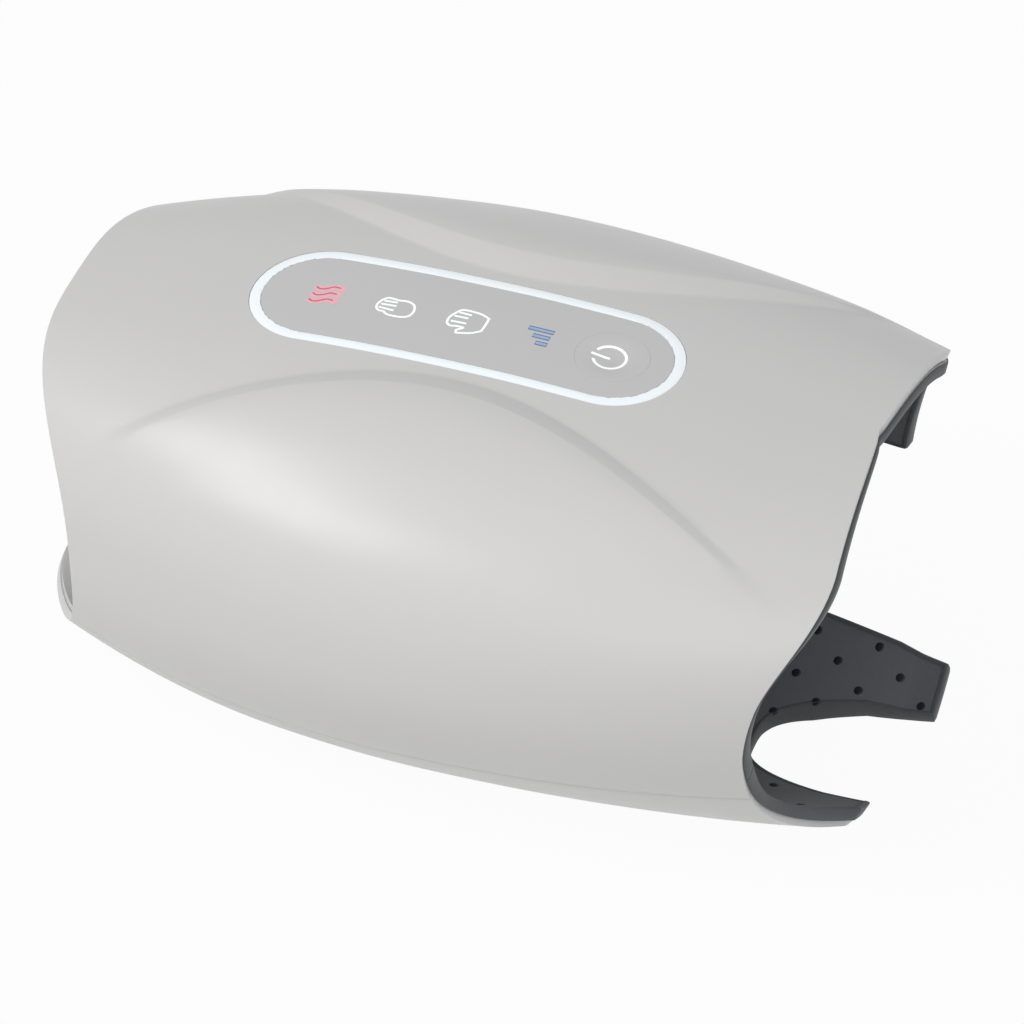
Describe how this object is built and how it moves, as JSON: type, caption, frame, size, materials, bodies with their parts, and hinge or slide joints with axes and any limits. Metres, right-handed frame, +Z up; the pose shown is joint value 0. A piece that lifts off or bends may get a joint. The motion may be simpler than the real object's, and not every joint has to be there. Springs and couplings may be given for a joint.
{
  "type": "hand massager",
  "caption": "Cordless hand massager: a rounded, open-ended sleeve with a top touch panel, a lit oval ring, a power key and padded air cushions inside.",
  "frame": {"origin": "middle of the footprint, on the surface that the rubber feet stand on", "axes": "+X along the sleeve towards the mouth that the hand goes into, +Y to the thumb side, +Z up"},
  "size_m": [0.227, 0.1558, 0.1216],
  "materials": {
    "shell": "smooth warm grey-white ABS with a soft satin sheen",
    "panel": "smooth touch panel, slightly darker than the shell",
    "light_guide": "milky light guide",
    "black_plastic": "black moulded plastic",
    "circuit_board": "green solder mask",
    "steel": "nickel-plated steel",
    "battery_wrap": "blue shrink wrap",
    "frame_plastic": "mid-grey moulded plastic",
    "brass_rotor": "turned brass and wound rotor",
    "rubber_mount": "soft black rubber",
    "silicone": "translucent silicone hose",
    "lining_fabric": "dark slate knitted fabric with printed grip dots",
    "cell_film": "welded polyurethane film",
    "heat_film": "flexible heating film",
    "rubber_feet": "dark grey rubber"
  },
  "bodies": {
    "housing": {"upper_shell": "shell", "base_shell": "shell", "panel": "panel", "ring_light": "light_guide", "key_switch": "black_plastic", "touch_board": "circuit_board", "touch_springs": "steel", "main_board": "circuit_board", "charge_port": "steel", "battery": "battery_wrap", "tray": "frame_plastic", "lower_tray": "frame_plastic", "pump_motor": "steel", "pump_head": "black_plastic", "pump_cradle": "rubber_mount", "valve_bodies": "frame_plastic", "valve_cradle": "rubber_mount", "air_manifold": "black_plastic", "pump_hose": "silicone", "valve_hoses": "silicone", "upper_hose": "silicone", "lower_hose": "silicone", "upper_frame": "frame_plastic", "lower_frame": "frame_plastic", "upper_lining": "lining_fabric", "lower_lining": "lining_fabric", "upper_cell": "cell_film", "lower_cell": "cell_film", "feet": "rubber_feet", "case_screws": "steel"},
    "power_key": {"power_key": "panel"},
    "pump_rotor": {"pump_rotor": "brass_rotor"},
    "fill_plunger": {"fill_plunger": "steel"},
    "vent_plunger": {"vent_plunger": "steel"},
    "upper_cushion": {"upper_cushion": "lining_fabric"},
    "lower_cushion": {"lower_cushion": "lining_fabric", "heat_film": "heat_film"}
  },
  "joints": [
    {"name": "power_key_press", "type": "slide", "parent": "housing", "child": "power_key", "axis": [-0.0414, 0, -0.9991], "range_m": [0, 0.0004], "stiffness_N_per_m": 400, "springref_m": -0.001},
    {"name": "pump_spin", "type": "hinge", "parent": "housing", "child": "pump_rotor", "pos_m": [0.011, -0.0506, 0.0953], "axis": [1, 0, 0], "continuous": true},
    {"name": "fill_plunger_slide", "type": "slide", "parent": "housing", "child": "fill_plunger", "axis": [1, 0, 0], "range_m": [0, 0.0008], "stiffness_N_per_m": 200, "springref_m": -0.001},
    {"name": "vent_plunger_slide", "type": "slide", "parent": "housing", "child": "vent_plunger", "axis": [-1, 0, 0], "range_m": [0, 0.0008], "stiffness_N_per_m": 200, "springref_m": -0.001},
    {"name": "upper_cushion_press", "type": "slide", "parent": "housing", "child": "upper_cushion", "axis": [0, 0, -1], "range_m": [0, 0.008], "stiffness_N_per_m": 600, "springref_m": -0.001},
    {"name": "lower_cushion_press", "type": "slide", "parent": "housing", "child": "lower_cushion", "axis": [0, 0, 1], "range_m": [0, 0.008], "stiffness_N_per_m": 600, "springref_m": -0.0005}
  ]
}
